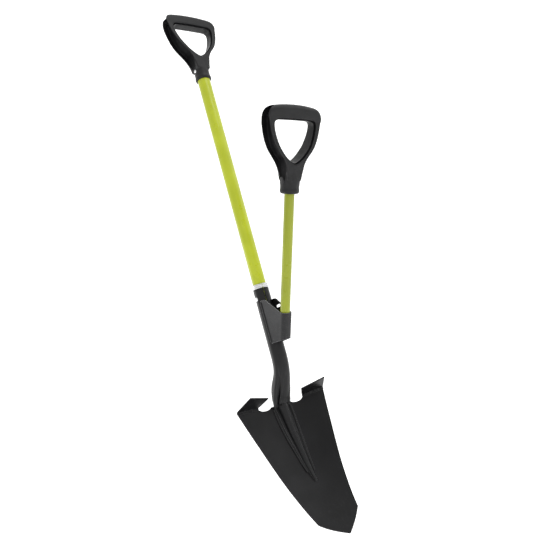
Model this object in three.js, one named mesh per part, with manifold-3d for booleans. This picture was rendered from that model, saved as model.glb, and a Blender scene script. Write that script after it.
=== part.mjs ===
// Digging spade with a hinged, sprung second handle on the front of its socket.
// Millimetres. +Z runs up along the main shaft, -Y is the front (the blade's hollow side), X is the width.
// The origin is under the middle of the main grip's crossbar, where the spade hangs from a peg.
import * as THREE from "three";
import Module from "manifold-3d";

const wasm = await Module();
wasm.setup();

// Heights in the working frame, whose zero is the middle of the ferrule.
const HANG_Z = 653.6;
const SHAFT_R = 15;
const SHAFT_WALL = 1.5;
const SHAFT_BOTTOM_Z = -88;
const GRIP_Z = 512;
const GRIP_BORE_R = 15.4;
const GRIP_BORE_DEPTH = 49;
const RIVET_SEAT = 17.9;
const FERRULE_R = 18.3;
const FERRULE_HALF = 5.1;
const SOCKET_R = 17.6;
const SOCKET_WALL = 2.2;
const SOCKET_TOP_Z = -5.5;
const SEAM_WIDTH = 2.2;
const SEAM_BOTTOM_Z = -62;
const SOCKET_RIVET_Z = -27;

const BLADE_T = 2.2;
const BLADE_LENGTH = 300;
const BLADE_SHOULDER = 261;
const BLADE_TILT = THREE.MathUtils.degToRad(24.7);
const BLADE_TOP = new THREE.Vector3(0, 49.4, -257);
const STEP_INNER_X = 60.9;
const EDGE_AT_TOP = 118.6;
const EDGE_AT_SHOULDER = 53.4;

const LEVER_TILT = THREE.MathUtils.degToRad(29);
const LEVER_R = 10.5;
const LEVER_WALL = 1.2;
const LEVER_START = new THREE.Vector3(0, -60.9, -80.2);
const PIVOT_K = -36;
const LEVER_TUBE_FROM = -26.5;
const LEG_SLOT_TOP = -19;
const LEVER_GRIP_K = 254.5;
const STRAP_R = 10.9;
const STRAP_T = 1.7;
const STRAP_SQUARE = 2.4;
const STRAP_TOP_K = 7.5;
const STRAP_FOOT_X = 15.8;
const STRAP_BOTTOM_Z = -129;
const PIN_R = 3;
const KNUCKLE_R = 10.4;
const BEAD_R = 1.4;

const LIME = { color: 0xa8bd2c, roughness: 0.38, metalness: 0.1 };
const BLACK_STEEL = { color: 0x1c1d1f, roughness: 0.42, metalness: 0.3 };
const BLACK_PLASTIC = { color: 0x18191b, roughness: 0.5, metalness: 0 };
const ZINC = { color: 0xc6c8cc, roughness: 0.35, metalness: 0.9 };
const WELD = { color: 0x222325, roughness: 0.55, metalness: 0.4 };

const spade = new THREE.Group();
spade.name = "garden_spade";
const frame = new THREE.Group();
frame.name = "spade_frame";
const lever = new THREE.Group();
lever.name = "second_handle";
spade.add(frame, lever);

const vec = (x, y, z) => new THREE.Vector3(x, y, z);
const lerp = THREE.MathUtils.lerp;
const leverDir = vec(0, -Math.sin(LEVER_TILT), Math.cos(LEVER_TILT));
const leverPoint = (k) => LEVER_START.clone().addScaledVector(leverDir, k);
const pivot = leverPoint(PIVOT_K);

// A geometry as a solid for joining and cutting.
function solid(geometry) {
  const flat = geometry.index ? geometry.toNonIndexed() : geometry;
  const position = flat.getAttribute("position");
  const key = new Map();
  const points = [];
  const triangles = [];
  for (let i = 0; i < position.count; i++) {
    const p = [position.getX(i), position.getY(i), position.getZ(i)];
    const name = p.map((v) => Math.round(v * 2000)).join();
    if (!key.has(name)) {
      key.set(name, points.length / 3);
      points.push(...p);
    }
    triangles.push(key.get(name));
  }
  const kept = [];
  for (let i = 0; i < triangles.length; i += 3) {
    const [a, b, c] = triangles.slice(i, i + 3);
    if (a !== b && b !== c && a !== c) kept.push(a, b, c);
  }
  return new wasm.Manifold(
    new wasm.Mesh({
      numProp: 3,
      vertProperties: new Float32Array(points),
      triVerts: new Uint32Array(kept),
    }),
  );
}

// The geometry of a joined or cut solid.
function geometryOf(body) {
  const mesh = body.getMesh();
  const geometry = new THREE.BufferGeometry();
  geometry.setAttribute("position", new THREE.BufferAttribute(mesh.vertProperties, 3));
  geometry.setIndex(new THREE.BufferAttribute(mesh.triVerts, 1));
  return geometry;
}

function add(group, name, geometry, look) {
  const flat = geometry.index ? geometry.toNonIndexed() : geometry;
  flat.computeVertexNormals();
  const mesh = new THREE.Mesh(flat, new THREE.MeshStandardMaterial(look));
  mesh.name = name;
  group.add(mesh);
}

// A closed skin through rings of points; closed also runs on from the last ring to the first.
function loft(rings, closed = false) {
  const n = rings[0].length;
  const points = rings.flat().flatMap((p) => [p.x, p.y, p.z]);
  const index = [];
  const spans = closed ? rings.length : rings.length - 1;
  for (let j = 0; j < spans; j++) {
    const a = j * n;
    const b = ((j + 1) % rings.length) * n;
    for (let i = 0; i < n; i++) {
      const k = (i + 1) % n;
      index.push(a + i, a + k, b + k, a + i, b + k, b + i);
    }
  }
  if (!closed) {
    for (const [ring, turn] of [[0, true], [rings.length - 1, false]]) {
      const contour = rings[ring];
      const centre = contour.reduce((s, p) => s.add(p), vec(0, 0, 0)).divideScalar(n);
      const middle = points.length / 3;
      points.push(centre.x, centre.y, centre.z);
      for (let i = 0; i < n; i++) {
        const k = (i + 1) % n;
        if (turn) index.push(middle, ring * n + k, ring * n + i);
        else index.push(middle, ring * n + i, ring * n + k);
      }
    }
  }
  const geometry = new THREE.BufferGeometry();
  geometry.setAttribute("position", new THREE.Float32BufferAttribute(points, 3));
  geometry.setIndex(index);
  return volumeOf(geometry) < 0 ? turned(geometry) : geometry;
}

function volumeOf(geometry) {
  const position = geometry.getAttribute("position");
  const index = geometry.index.array;
  const p = [vec(0, 0, 0), vec(0, 0, 0), vec(0, 0, 0)];
  let sum = 0;
  for (let i = 0; i < index.length; i += 3) {
    p.forEach((v, j) => v.fromBufferAttribute(position, index[i + j]));
    sum += p[0].dot(p[1].cross(p[2])) / 6;
  }
  return sum;
}

function turned(geometry) {
  const index = Array.from(geometry.index.array);
  for (let i = 0; i < index.length; i += 3) {
    [index[i + 1], index[i + 2]] = [index[i + 2], index[i + 1]];
  }
  geometry.setIndex(index);
  return geometry;
}

// A turned piece about Z from [radius, z] points; it closes on itself.
function turnedPiece(profile, parts = 36) {
  const points = [...profile, profile[0]].map(([r, z]) => new THREE.Vector2(r, z));
  const geometry = new THREE.LatheGeometry(points, parts);
  geometry.rotateX(Math.PI / 2);
  return geometry;
}

function tube(outer, inner, z0, z1, parts = 36) {
  return turnedPiece([[inner, z0], [outer, z0], [outer, z1], [inner, z1]], parts);
}

function rod(radius, z0, z1, parts = 32) {
  return turnedPiece([[0, z0], [radius, z0], [radius, z1], [0, z1]], parts);
}

// A solid cylinder between two points.
function bar(from, to, radius, parts = 20) {
  const geometry = new THREE.CylinderGeometry(radius, radius, from.distanceTo(to), parts);
  geometry.rotateX(Math.PI / 2);
  const along = to.clone().sub(from).normalize();
  const turn = new THREE.Quaternion().setFromUnitVectors(vec(0, 0, 1), along);
  geometry.applyQuaternion(turn);
  const middle = from.clone().add(to).multiplyScalar(0.5);
  geometry.translate(middle.x, middle.y, middle.z);
  return geometry;
}

// A prism across the whole width from a side outline of [y, z] points.
function sideCutter(points, x0, x1) {
  const shape = new THREE.Shape(points.map(([y, z]) => new THREE.Vector2(y, z)));
  const geometry = new THREE.ExtrudeGeometry(shape, { depth: x1 - x0, bevelEnabled: false });
  geometry.applyMatrix4(new THREE.Matrix4().set(0, 0, 1, x0, 1, 0, 0, 0, 0, 1, 0, 0, 0, 0, 0, 1));
  return geometry;
}

// Value of a table of [at, value] pairs, eased between its rows.
function table(rows, at) {
  if (at <= rows[0][0]) return rows[0][1];
  for (let i = 1; i < rows.length; i++) {
    if (at > rows[i][0]) continue;
    const before = rows[Math.max(i - 2, 0)];
    const [a, va] = rows[i - 1];
    const [b, vb] = rows[i];
    const after = rows[Math.min(i + 1, rows.length - 1)];
    const t = (at - a) / (b - a);
    const slopeA = ((vb - before[1]) / (b - before[0])) * (b - a);
    const slopeB = ((after[1] - va) / (after[0] - a)) * (b - a);
    const t2 = t * t;
    const t3 = t2 * t;
    const nearA = (2 * t3 - 3 * t2 + 1) * va + (t3 - 2 * t2 + t) * slopeA;
    const nearB = (3 * t2 - 2 * t3) * vb + (t3 - t2) * slopeB;
    return nearA + nearB;
  }
  return rows[rows.length - 1][1];
}

// Blade: u runs down its length, across is x, depth is how far the hollow face stands forward.
const CENTRE_DEPTH = [
  [-6, 8], [5, 5.6], [65, -6.8], [115, -13], [150, -15.8],
  [180, -15.4], [228, -12], [261, -7], [300, 1.5],
];
const EDGE_DEPTH = [
  [-6, 20.6], [0, 19.5], [40, 12], [80, 5.5], [120, -1],
  [160, -6.3], [200, -8.3], [240, -7], [261, -4.5], [300, 1.5],
];
const bladeDown = vec(0, -Math.sin(BLADE_TILT), -Math.cos(BLADE_TILT));
const bladeOut = vec(0, -Math.cos(BLADE_TILT), Math.sin(BLADE_TILT));

function halfWidth(u) {
  if (u <= BLADE_SHOULDER) return lerp(EDGE_AT_TOP, EDGE_AT_SHOULDER, u / BLADE_SHOULDER);
  const t = (u - BLADE_SHOULDER) / (BLADE_LENGTH - BLADE_SHOULDER);
  return EDGE_AT_SHOULDER * (1 - t) + 3.5 * Math.sin(Math.PI * t) + 0.6 * t;
}

function faceDepth(x, u) {
  const s = Math.min(Math.abs(x) / halfWidth(Math.min(u, BLADE_SHOULDER)), 1.02);
  return lerp(table(CENTRE_DEPTH, u), table(EDGE_DEPTH, u), s * s);
}

function facePoint(x, u, above = 0) {
  return vec(x, 0, 0)
    .add(BLADE_TOP)
    .addScaledVector(bladeDown, u)
    .addScaledVector(bladeOut, faceDepth(x, u) + above);
}

// The blade is one sheet: rows run down it; its outer columns carry on over a bend as the foot steps.
const COLUMNS = [0, 0.13, 0.26, 0.39, STEP_INNER_X / EDGE_AT_TOP, 0.63, 0.755, 0.88, 1];
const BLADE_ROWS = [
  3, 12, 24, 40, 60, 85, 110, 135, 160, 185, 210, 235, BLADE_SHOULDER, 274, 286, 294, 300,
];
const STEP_BEND = 3;
const STEP_OUTER_EDGE = vec(100.3, -6.2, -227.3);
const STEP_INNER_EDGE = vec(45.2, 14.6, -238);

function stepPoints(side) {
  const innerBend = facePoint(STEP_INNER_X, 0, -BLADE_T / 2);
  const outerBend = facePoint(EDGE_AT_TOP, 0, -BLADE_T / 2);
  const along = outerBend.clone().sub(innerBend).normalize();
  const normal = along.clone().cross(STEP_OUTER_EDGE.clone().sub(outerBend)).normalize();
  const innerEdge = STEP_INNER_EDGE.clone();
  innerEdge.addScaledVector(normal, innerBend.clone().sub(innerEdge).dot(normal));
  return COLUMNS.slice(4).map((s) => {
    const t = (s - COLUMNS[4]) / (1 - COLUMNS[4]);
    const bend = innerBend.clone().lerp(outerBend, t);
    const free = innerEdge.clone().lerp(STEP_OUTER_EDGE, t);
    const below = bend.clone().addScaledVector(bladeDown, STEP_BEND);
    const beyond = bend.clone().addScaledVector(free.clone().sub(bend).normalize(), STEP_BEND);
    const fold = new THREE.QuadraticBezierCurve3(beyond, bend, below);
    const down = [free, beyond, fold.getPoint(1 / 3), fold.getPoint(2 / 3), below];
    return down.map((p) => vec(side * p.x, p.y, p.z));
  });
}

function bladeGrid() {
  const grid = [0, 1, 2, 3].map(() => new Array(2 * COLUMNS.length - 1).fill(null));
  for (const u of BLADE_ROWS) {
    const row = [...COLUMNS.slice(1).reverse().map((s) => -s), ...COLUMNS];
    grid.push(row.map((s) => facePoint(s * halfWidth(u), u, -BLADE_T / 2)));
  }
  for (const side of [-1, 1]) {
    stepPoints(side).forEach((down, i) => {
      const column = COLUMNS.length - 1 + side * (i + 4);
      down.forEach((p, row) => (grid[row][column] = p));
    });
  }
  return grid;
}

// A sheet of even thickness over a grid of middle points; missing points leave that part of it out.
function sheet(grid, thickness) {
  const width = grid[0].length;
  const at = (j, i) => (grid[j] && grid[j][i]) || null;
  const points = [];
  const index = [];
  for (let j = 0; j < grid.length; j++) {
    for (let i = 0; i < width; i++) {
      const p = at(j, i) || vec(0, 0, 0);
      const across = (at(j, i + 1) || p).clone().sub(at(j, i - 1) || p);
      const down = (at(j + 1, i) || p).clone().sub(at(j - 1, i) || p);
      const out = across.cross(down).normalize().multiplyScalar(-thickness / 2);
      points.push(...p.clone().add(out).toArray(), ...p.clone().sub(out).toArray());
    }
  }
  const id = (j, i, back) => 2 * (j * width + i) + back;
  const whole = (j, i) => at(j, i) && at(j, i + 1) && at(j + 1, i) && at(j + 1, i + 1);
  const wall = (a, b) => index.push(a, b, b + 1, a, b + 1, a + 1);
  for (let j = 0; j < grid.length - 1; j++) {
    for (let i = 0; i < width - 1; i++) {
      if (!whole(j, i)) continue;
      const corners = [id(j, i, 0), id(j, i + 1, 0), id(j + 1, i + 1, 0), id(j + 1, i, 0)];
      const [a, b, c, d] = corners;
      index.push(a, c, b, a, d, c, a + 1, b + 1, c + 1, a + 1, c + 1, d + 1);
      const beside = [whole(j - 1, i), whole(j, i + 1), whole(j + 1, i), whole(j, i - 1)];
      beside.forEach((there, k) => {
        if (!there) wall(corners[k], corners[(k + 1) % 4]);
      });
    }
  }
  const geometry = new THREE.BufferGeometry();
  geometry.setAttribute("position", new THREE.Float32BufferAttribute(points, 3));
  geometry.setIndex(index);
  return geometry;
}

// The rounded notch between the socket and a foot step, as a cutter through the sheet only.
function notchCutter(side) {
  const shape = new THREE.Shape();
  shape.moveTo(24.6, -10);
  shape.lineTo(25.2, 1);
  shape.bezierCurveTo(26.5, 7.5, 34, 9.8, 43, 9.8);
  shape.bezierCurveTo(52, 9.8, 58.5, 7.5, STEP_INNER_X - 0.3, 2.6);
  shape.lineTo(STEP_INNER_X - 0.3, -10);
  const geometry = new THREE.ExtrudeGeometry(shape, {
    depth: 26,
    bevelEnabled: false,
    curveSegments: 6,
  });
  const axes = new THREE.Matrix4().makeBasis(vec(side, 0, 0), bladeDown, bladeOut);
  const place = BLADE_TOP.clone().addScaledVector(bladeOut, -14);
  geometry.applyMatrix4(axes.setPosition(place));
  return side > 0 ? geometry : flipped(geometry);
}

// A mirrored geometry with its faces turned back outward.
function flipped(geometry) {
  const flat = geometry.index ? geometry.toNonIndexed() : geometry;
  const p = flat.getAttribute("position");
  for (let i = 0; i < p.count; i += 3) {
    const b = vec(0, 0, 0).fromBufferAttribute(p, i + 1);
    const c = vec(0, 0, 0).fromBufferAttribute(p, i + 2);
    p.setXYZ(i + 1, c.x, c.y, c.z);
    p.setXYZ(i + 2, b.x, b.y, b.z);
  }
  return flat;
}

function outward(geometry) {
  const made = solid(geometry);
  return made.volume() < 0 ? solid(flipped(geometry)) : made;
}

let blade = outward(sheet(bladeGrid(), BLADE_T));
for (const side of [-1, 1]) blade = blade.subtract(outward(notchCutter(side)));
add(frame, "blade", geometryOf(blade), BLACK_STEEL);

// Socket and neck: each station gives the section's back and front points, half-width and groove.
const NECK = [
  {
    back: [SOCKET_R, SOCKET_TOP_Z],
    front: [-SOCKET_R, SOCKET_TOP_Z],
    wide: SOCKET_R,
    flare: 0,
    groove: 0,
  },
  { back: [SOCKET_R, -60], front: [-SOCKET_R, -60], wide: SOCKET_R, flare: 0, groove: 0 },
  { back: [SOCKET_R, -110], front: [-SOCKET_R, -110], wide: SOCKET_R, flare: 0, groove: 0 },
  { back: [SOCKET_R, -150], front: [-SOCKET_R, -152], wide: SOCKET_R, flare: 0, groove: 0 },
  { back: [17.9, -161], front: [-17.2, -165], wide: SOCKET_R, flare: 0, groove: 0 },
  { back: [19.2, -174], front: [-15.2, -182.2], wide: SOCKET_R, flare: 0, groove: 0 },
  { back: [21.4, -184], front: [-12.6, -193.2], wide: SOCKET_R, flare: 0.04, groove: 0.02 },
  { back: [24.2, -193.4], front: [-9.2, -203.6], wide: SOCKET_R, flare: 0.2, groove: 0.06 },
  { back: [27.6, -201.5], front: [-4.9, -214.5], wide: 17.4, flare: 0.45, groove: 0.12 },
  { back: [31.2, -209.5], front: [-0.2, -225], wide: 17.2, flare: 0.72, groove: 0.18 },
  { back: [34.8, -218], front: [5.2, -235], wide: 17.4, flare: 0.92, groove: 0.22 },
  { back: [38, -227], front: [11, -243.5], wide: 18, flare: 1, groove: 0.24 },
  { back: [40.4, -236], front: [17.2, -251], wide: 19, flare: 1, groove: 0.24 },
  { back: [41.8, -245.5], front: [22.4, -258.5], wide: 20.4, flare: 1, groove: 0.2 },
];
const BACK_WIDE = 22;
const TANG = [
  [12, 16, 22.5], [24, 14.6, 22.4], [40, 12.6, 21.8], [60, 10.6, 20.7], [85, 8.4, 18],
  [110, 6.3, 14.4],
  [135, 4.5, 10.4], [160, 2.9, 6.2], [176, 1.8, 3],
];
const RING = 28;

// Section of the neck: a round front, a wider back and a groove down each side.
function neckRing(station, inset) {
  const back = vec(0, ...station.back);
  const front = vec(0, ...station.front);
  const centre = back.clone().add(front).multiplyScalar(0.5);
  const half = front.clone().sub(back).multiplyScalar(0.5);
  const deep = half.length() - inset;
  const forward = half.normalize();
  const backWide = lerp(station.wide, BACK_WIDE, station.flare) - inset;
  const power = 2 / (2 + 3 * station.flare);
  const ring = [];
  for (let i = 0; i < RING; i++) {
    const a = (2 * Math.PI * i) / RING;
    const sin = Math.sin(a);
    const cos = Math.cos(a);
    const dip = station.groove * Math.exp(-(((Math.abs(angleFromFront(a)) - 1.15) / 0.3) ** 2));
    let wide = lerp(station.wide - inset, backWide, Math.abs(sin) ** 8) * Math.abs(sin) * (1 - dip);
    let depth = deep * cos * (1 - dip * 0.4);
    if (cos < 0) {
      wide = backWide * Math.abs(sin) ** power;
      depth = -deep * Math.abs(cos) ** power;
    }
    ring.push(centre.clone().addScaledVector(forward, depth).add(vec(wide * Math.sign(sin), 0, 0)));
  }
  return ring;
}

function angleFromFront(a) {
  return a > Math.PI ? a - 2 * Math.PI : a;
}

// Section of the tang lying on the blade's face: a low dome with hollow feet.
function tangRing([u, high, wide]) {
  const ring = [];
  for (let i = 0; i < RING; i++) {
    const a = (2 * Math.PI * i) / RING;
    const s = Math.sin(a);
    const x = wide * s * (Math.cos(a) < 0 ? 1 : 0.98);
    const dome = Math.cos(a) > 0 ? high * (1 - Math.abs(s) ** 1.7) * (1 - 0.3 * s * s) : 0;
    ring.push(facePoint(x, u, 0.35 + Math.max(dome, Math.cos(a) > 0 ? 0.9 * Math.cos(a) : 0)));
  }
  return ring;
}

const socketSkin = loft([...NECK.map((s) => neckRing(s, 0)), ...TANG.map(tangRing)]);
const hollowRings = NECK.filter((s, i) => i > 2 && i % 2 === 1).map((s) => neckRing(s, SOCKET_WALL));
const socketHollow = loft(hollowRings);
const seam = new THREE.BoxGeometry(SEAM_WIDTH, 20, SOCKET_TOP_Z - SEAM_BOTTOM_Z + 10);
seam.translate(0, -SOCKET_R, (SOCKET_TOP_Z + 10 + SEAM_BOTTOM_Z) / 2);
const socketRivetLine = [vec(-30, 0, SOCKET_RIVET_Z), vec(30, 0, SOCKET_RIVET_Z)];
const socket = outward(socketSkin)
  .subtract(outward(rod(SOCKET_R - SOCKET_WALL, -151.5, 10, 32)))
  .subtract(outward(socketHollow))
  .subtract(outward(seam))
  .subtract(outward(bar(...socketRivetLine, 3.3)));
add(frame, "socket", geometryOf(socket), BLACK_STEEL);

// Main shaft, drilled for the socket and grip rivets.
const gripRivetZ = GRIP_Z + 24;
const shaftTopZ = GRIP_Z + GRIP_BORE_DEPTH - 0.8;
const shaft = outward(tube(SHAFT_R, SHAFT_R - SHAFT_WALL, SHAFT_BOTTOM_Z, shaftTopZ))
  .subtract(outward(bar(...socketRivetLine, 3.3)))
  .subtract(outward(bar(vec(-30, 0, gripRivetZ), vec(30, 0, gripRivetZ), 3.3)));
add(frame, "main_shaft", geometryOf(shaft), LIME);

const ferrule = turnedPiece([
  [SHAFT_R + 0.3, -FERRULE_HALF],
  [FERRULE_R - 0.7, -FERRULE_HALF],
  [FERRULE_R, -FERRULE_HALF + 0.9],
  [FERRULE_R, FERRULE_HALF - 1.6],
  [FERRULE_R - 1.6, FERRULE_HALF],
  [SHAFT_R + 0.3, FERRULE_HALF],
]);
add(frame, "ferrule", ferrule, ZINC);

// A domed rivet set through one wall, or through both with its tail formed on the far side.
function blindRivet(side, z, surface, inner) {
  const shank = [[0, inner], [2.9, inner], [2.9, surface + 0.35]];
  const head = [[4.6, surface + 0.35], [4.3, surface + 1.4], [2.6, surface + 2.2], [0, surface + 2.4]];
  const profile = [...shank, ...head];
  const geometry = turnedPiece(profile, 18);
  geometry.rotateY((side * Math.PI) / 2);
  geometry.translate(0, 0, z);
  return geometry;
}
for (const [side, name] of [[-1, "left"], [1, "right"]]) {
  add(frame, "socket_rivet_" + name, blindRivet(side, SOCKET_RIVET_Z, SOCKET_R, 10.5), ZINC);
}

// Grip: a closed D of swept sections on a tapering neck, one moulding used on both tubes.
const D_OUTER = [
  [0, 22], [11, 25], [16.8, 32], [20, 41], [24, 50], [30.5, 61], [38.5, 71.5],
  [46.5, 82], [53.5, 93], [59.3, 105], [62.8, 116], [65, 127], [66, 138], [64.4, 150],
  [60.5, 161], [53, 167], [38, 170.4], [20, 172.2], [0, 172.8],
];
const D_INNER = [
  [0, 60], [4, 61.2], [8, 63.2], [12, 66], [16, 69], [20.5, 73], [25, 77.5],
  [30.5, 84], [36.5, 92], [41.8, 103.5], [45.6, 115], [48, 126], [48.4, 133], [46.5, 138],
  [41, 140.8], [32, 141.4], [22, 141.6], [11, 141.7], [0, 141.8],
];
const D_THICK = [
  17, 17, 17, 17, 17, 17, 17, 16.8, 16, 14.8, 13.2, 12, 11.8, 12.2, 12.8, 13, 13.2, 13.2, 13.2,
];
const D_SQUARE = [3, 3, 3.2, 3.6, 4, 4.6, 5, 5, 5, 5, 5, 5, 4.6, 3.8, 3, 2.6, 2.4, 2.4, 2.4];
const D_CHANNEL = [
  0, 0, 0, 0.1, 0.2, 0.28, 0.32, 0.34, 0.34, 0.34, 0.34, 0.34, 0.3, 0.22, 0.1, 0, 0, 0, 0,
];
const GRIP_RING = 16;

function gripSection(outer, inner, thick, power, channel) {
  const ring = [];
  for (let i = 0; i < GRIP_RING; i++) {
    const a = (2 * Math.PI * i) / GRIP_RING;
    const round = (v) => Math.sign(v) * Math.abs(v) ** (2 / power);
    let across = round(Math.cos(a));
    const through = round(Math.sin(a));
    if (across > 0) across -= channel * 2 * Math.exp(-((through / 0.62) ** 6));
    const p = (across + 1) / 2;
    ring.push(vec(lerp(inner[0], outer[0], p), thick * through, lerp(inner[1], outer[1], p)));
  }
  return ring;
}

const GRIP_NECK = [
  [0, 16.8, 16.8, 2], [0.7, 17.4, 17.4, 2], [10, 18.2, 17.4, 2.1], [20, 18.8, 17.3, 2.2],
  [31, 19.6, 17.2, 2.4], [41, 21, 17, 2.6], [50, 22.6, 16.4, 3],
];

function gripSolid() {
  const rings = [];
  const last = D_OUTER.length - 1;
  const section = (i, side) => {
    const [outer, inner] = [D_OUTER[i], D_INNER[i]].map(([x, z]) => [side * x, z]);
    return gripSection(outer, inner, D_THICK[i], D_SQUARE[i], D_CHANNEL[i]);
  };
  for (let i = 0; i <= last; i++) rings.push(section(i, 1));
  for (let i = last - 1; i > 0; i--) rings.push(section(i, -1));
  const neckRings = GRIP_NECK.map(([z, a, b, power]) => {
    const ring = [];
    for (let i = 0; i < 28; i++) {
      const t = (2 * Math.PI * i) / 28;
      const round = (v) => Math.sign(v) * Math.abs(v) ** (2 / power);
      ring.push(vec(a * round(Math.cos(t)), b * round(Math.sin(t)), z));
    }
    return ring;
  });
  return outward(loft(rings, true))
    .add(outward(loft(neckRings)))
    .subtract(outward(rod(GRIP_BORE_R, -2, GRIP_BORE_DEPTH, 36)))
    .subtract(outward(bar(vec(-30, 0, 24), vec(30, 0, 24), 3.3)))
    .subtract(outward(bar(vec(-30, 0, 24), vec(-RIVET_SEAT, 0, 24), 5.3)))
    .subtract(outward(bar(vec(RIVET_SEAT, 0, 24), vec(30, 0, 24), 5.3)));
}

// A rivet across a grip's neck: a domed head on one side and a flat formed tail on the other.
function gripRivet(side) {
  const seat = RIVET_SEAT + 0.3;
  const head = [[0, seat + 2.3], [2.4, seat + 2.1], [4.4, seat + 1.1], [4.7, seat], [2.9, seat]];
  const tail = [[2.9, -seat], [4.2, -seat], [4.2, -seat - 1.4], [0, -seat - 1.4]];
  const geometry = turnedPiece([...head, ...tail], 18);
  geometry.rotateY((side * Math.PI) / 2);
  geometry.translate(0, 0, 24);
  return geometry;
}

const gripBody = gripSolid();
const gripGeometry = geometryOf(gripBody);
const onShaft = new THREE.Matrix4().makeTranslation(0, 0, GRIP_Z);
add(frame, "main_grip", gripGeometry.clone().applyMatrix4(onShaft), BLACK_PLASTIC);
add(frame, "main_grip_rivet", geometryOf(outward(gripRivet(-1))).applyMatrix4(onShaft), ZINC);

// Strap bracket: bent round the lever tube, its two sides running back to the socket.
function strapRing(z, inset) {
  const k = (z - LEVER_START.z) / leverDir.z;
  const y = leverPoint(k).y;
  const r = STRAP_R + STRAP_T - inset;
  const deep = r / Math.cos(LEVER_TILT);
  const foot = STRAP_FOOT_X - inset;
  const points = [vec(-foot, 0, z), vec(-foot, -7, z)];
  for (let i = 0; i <= 16; i++) {
    const a = (Math.PI * i) / 16;
    const square = (v) => Math.sign(v) * Math.abs(v) ** (2 / STRAP_SQUARE);
    points.push(vec(-r * square(Math.cos(a)), y - deep * square(Math.sin(a)), z));
  }
  points.push(vec(foot, -7, z), vec(foot, 0, z));
  return points;
}

function strapLoft(inset, z0, z1) {
  const rings = [];
  for (const z of [z0, z1]) rings.push(strapRing(z, inset));
  return outward(loft(rings));
}

const strapTop = leverPoint(STRAP_TOP_K);
const strapTopFront = strapTop
  .clone()
  .add(vec(0, -Math.cos(LEVER_TILT) * 60, -Math.sin(LEVER_TILT) * 60));
const aboveStrap = sideCutter(
  [
    [strapTopFront.y, strapTopFront.z],
    [strapTop.y + 1.2, strapTop.z + 0.6],
    [-25, -35.6],
    [-12, -33.4],
    [20, -33.4],
    [20, 40],
    [strapTopFront.y, 40],
  ],
  -30,
  30,
);
const sightSlot = new THREE.Shape();
sightSlot.absarc(-34, -52.7, 3.2, Math.PI / 2, -Math.PI / 2, false);
sightSlot.absarc(-28.4, -52.7, 3.2, -Math.PI / 2, Math.PI / 2, false);
const slotSolid = new THREE.ExtrudeGeometry(sightSlot, {
  depth: 12,
  bevelEnabled: false,
  curveSegments: 12,
});
slotSolid.applyMatrix4(new THREE.Matrix4().set(0, 0, 1, 8, 1, 0, 0, 0, 0, 1, 0, 0, 0, 0, 0, 1));
const pinLine = (half) => [vec(-half, pivot.y, pivot.z), vec(half, pivot.y, pivot.z)];
const bracket = strapLoft(0, STRAP_BOTTOM_Z, -30)
  .subtract(strapLoft(STRAP_T, STRAP_BOTTOM_Z - 5, -20))
  .subtract(outward(rod(SOCKET_R + 0.4, -140, 0, 48)))
  .subtract(outward(new THREE.BoxGeometry(60, 20, 300).translate(0, 2.5, -60)))
  .subtract(outward(aboveStrap))
  .subtract(outward(slotSolid))
  .subtract(outward(bar(...pinLine(20), PIN_R + 0.25)));
add(frame, "bracket", geometryOf(bracket), BLACK_STEEL);

// A weld bead: a round run of weld laid through the points, standing just clear of both pieces.
function bead(points, radius) {
  const section = new THREE.Shape();
  section.absarc(0, 0, radius, 0, 2 * Math.PI);
  return new THREE.ExtrudeGeometry(section, {
    extrudePath: new THREE.CatmullRomCurve3(points),
    steps: points.length * 2,
    curveSegments: 5,
    bevelEnabled: false,
  });
}
for (const [side, name] of [[-1, "left"], [1, "right"]]) {
  const x = side * (STRAP_FOOT_X + BEAD_R + 0.35);
  const y = -Math.sqrt((SOCKET_R + BEAD_R + 0.35) ** 2 - x * x);
  const seam = [-126, -97, -68, -39].map((z) => vec(x, y, z));
  add(frame, "bracket_weld_" + name, bead(seam, BEAD_R), WELD);
  const clear = BEAD_R + 0.4;
  const foot = TANG.slice(0, 8).map(([u, , wide]) => facePoint(side * (wide + clear), u, clear));
  add(frame, "tang_weld_" + name, bead(foot, BEAD_R), WELD);
}

add(frame, "pivot_pin", bar(...pinLine(STRAP_R + STRAP_T), PIN_R, 24), BLACK_STEEL);

// Lever tube and its rounded foot, slotted for the spring.
const leverTurn = new THREE.Matrix4().makeRotationX(LEVER_TILT);
const onLever = (k) => leverTurn.clone().setPosition(leverPoint(k));
const leverGripRivetK = LEVER_GRIP_K + 24;
const acrossLever = (k, half) => [-half, half].map((x) => leverPoint(k).setX(x));
const leverRivetHole = outward(bar(...acrossLever(leverGripRivetK, 30), 3.3));
const leverTubeSkin = tube(LEVER_R, LEVER_R - LEVER_WALL, LEVER_TUBE_FROM, LEVER_GRIP_K + 46);
// A slot in the tube's lower end, where the spring's leg passes when the handle is folded back.
const legSlotHeight = LEG_SLOT_TOP + 29;
const legSlot = new THREE.BoxGeometry(4.2, 9, legSlotHeight)
  .translate(4.7, 9.5, LEG_SLOT_TOP - legSlotHeight / 2)
  .applyMatrix4(onLever(0));
const leverTube = outward(leverTubeSkin.applyMatrix4(onLever(0)))
  .subtract(leverRivetHole)
  .subtract(outward(legSlot));
add(lever, "lever_tube", geometryOf(leverTube), LIME);

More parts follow.
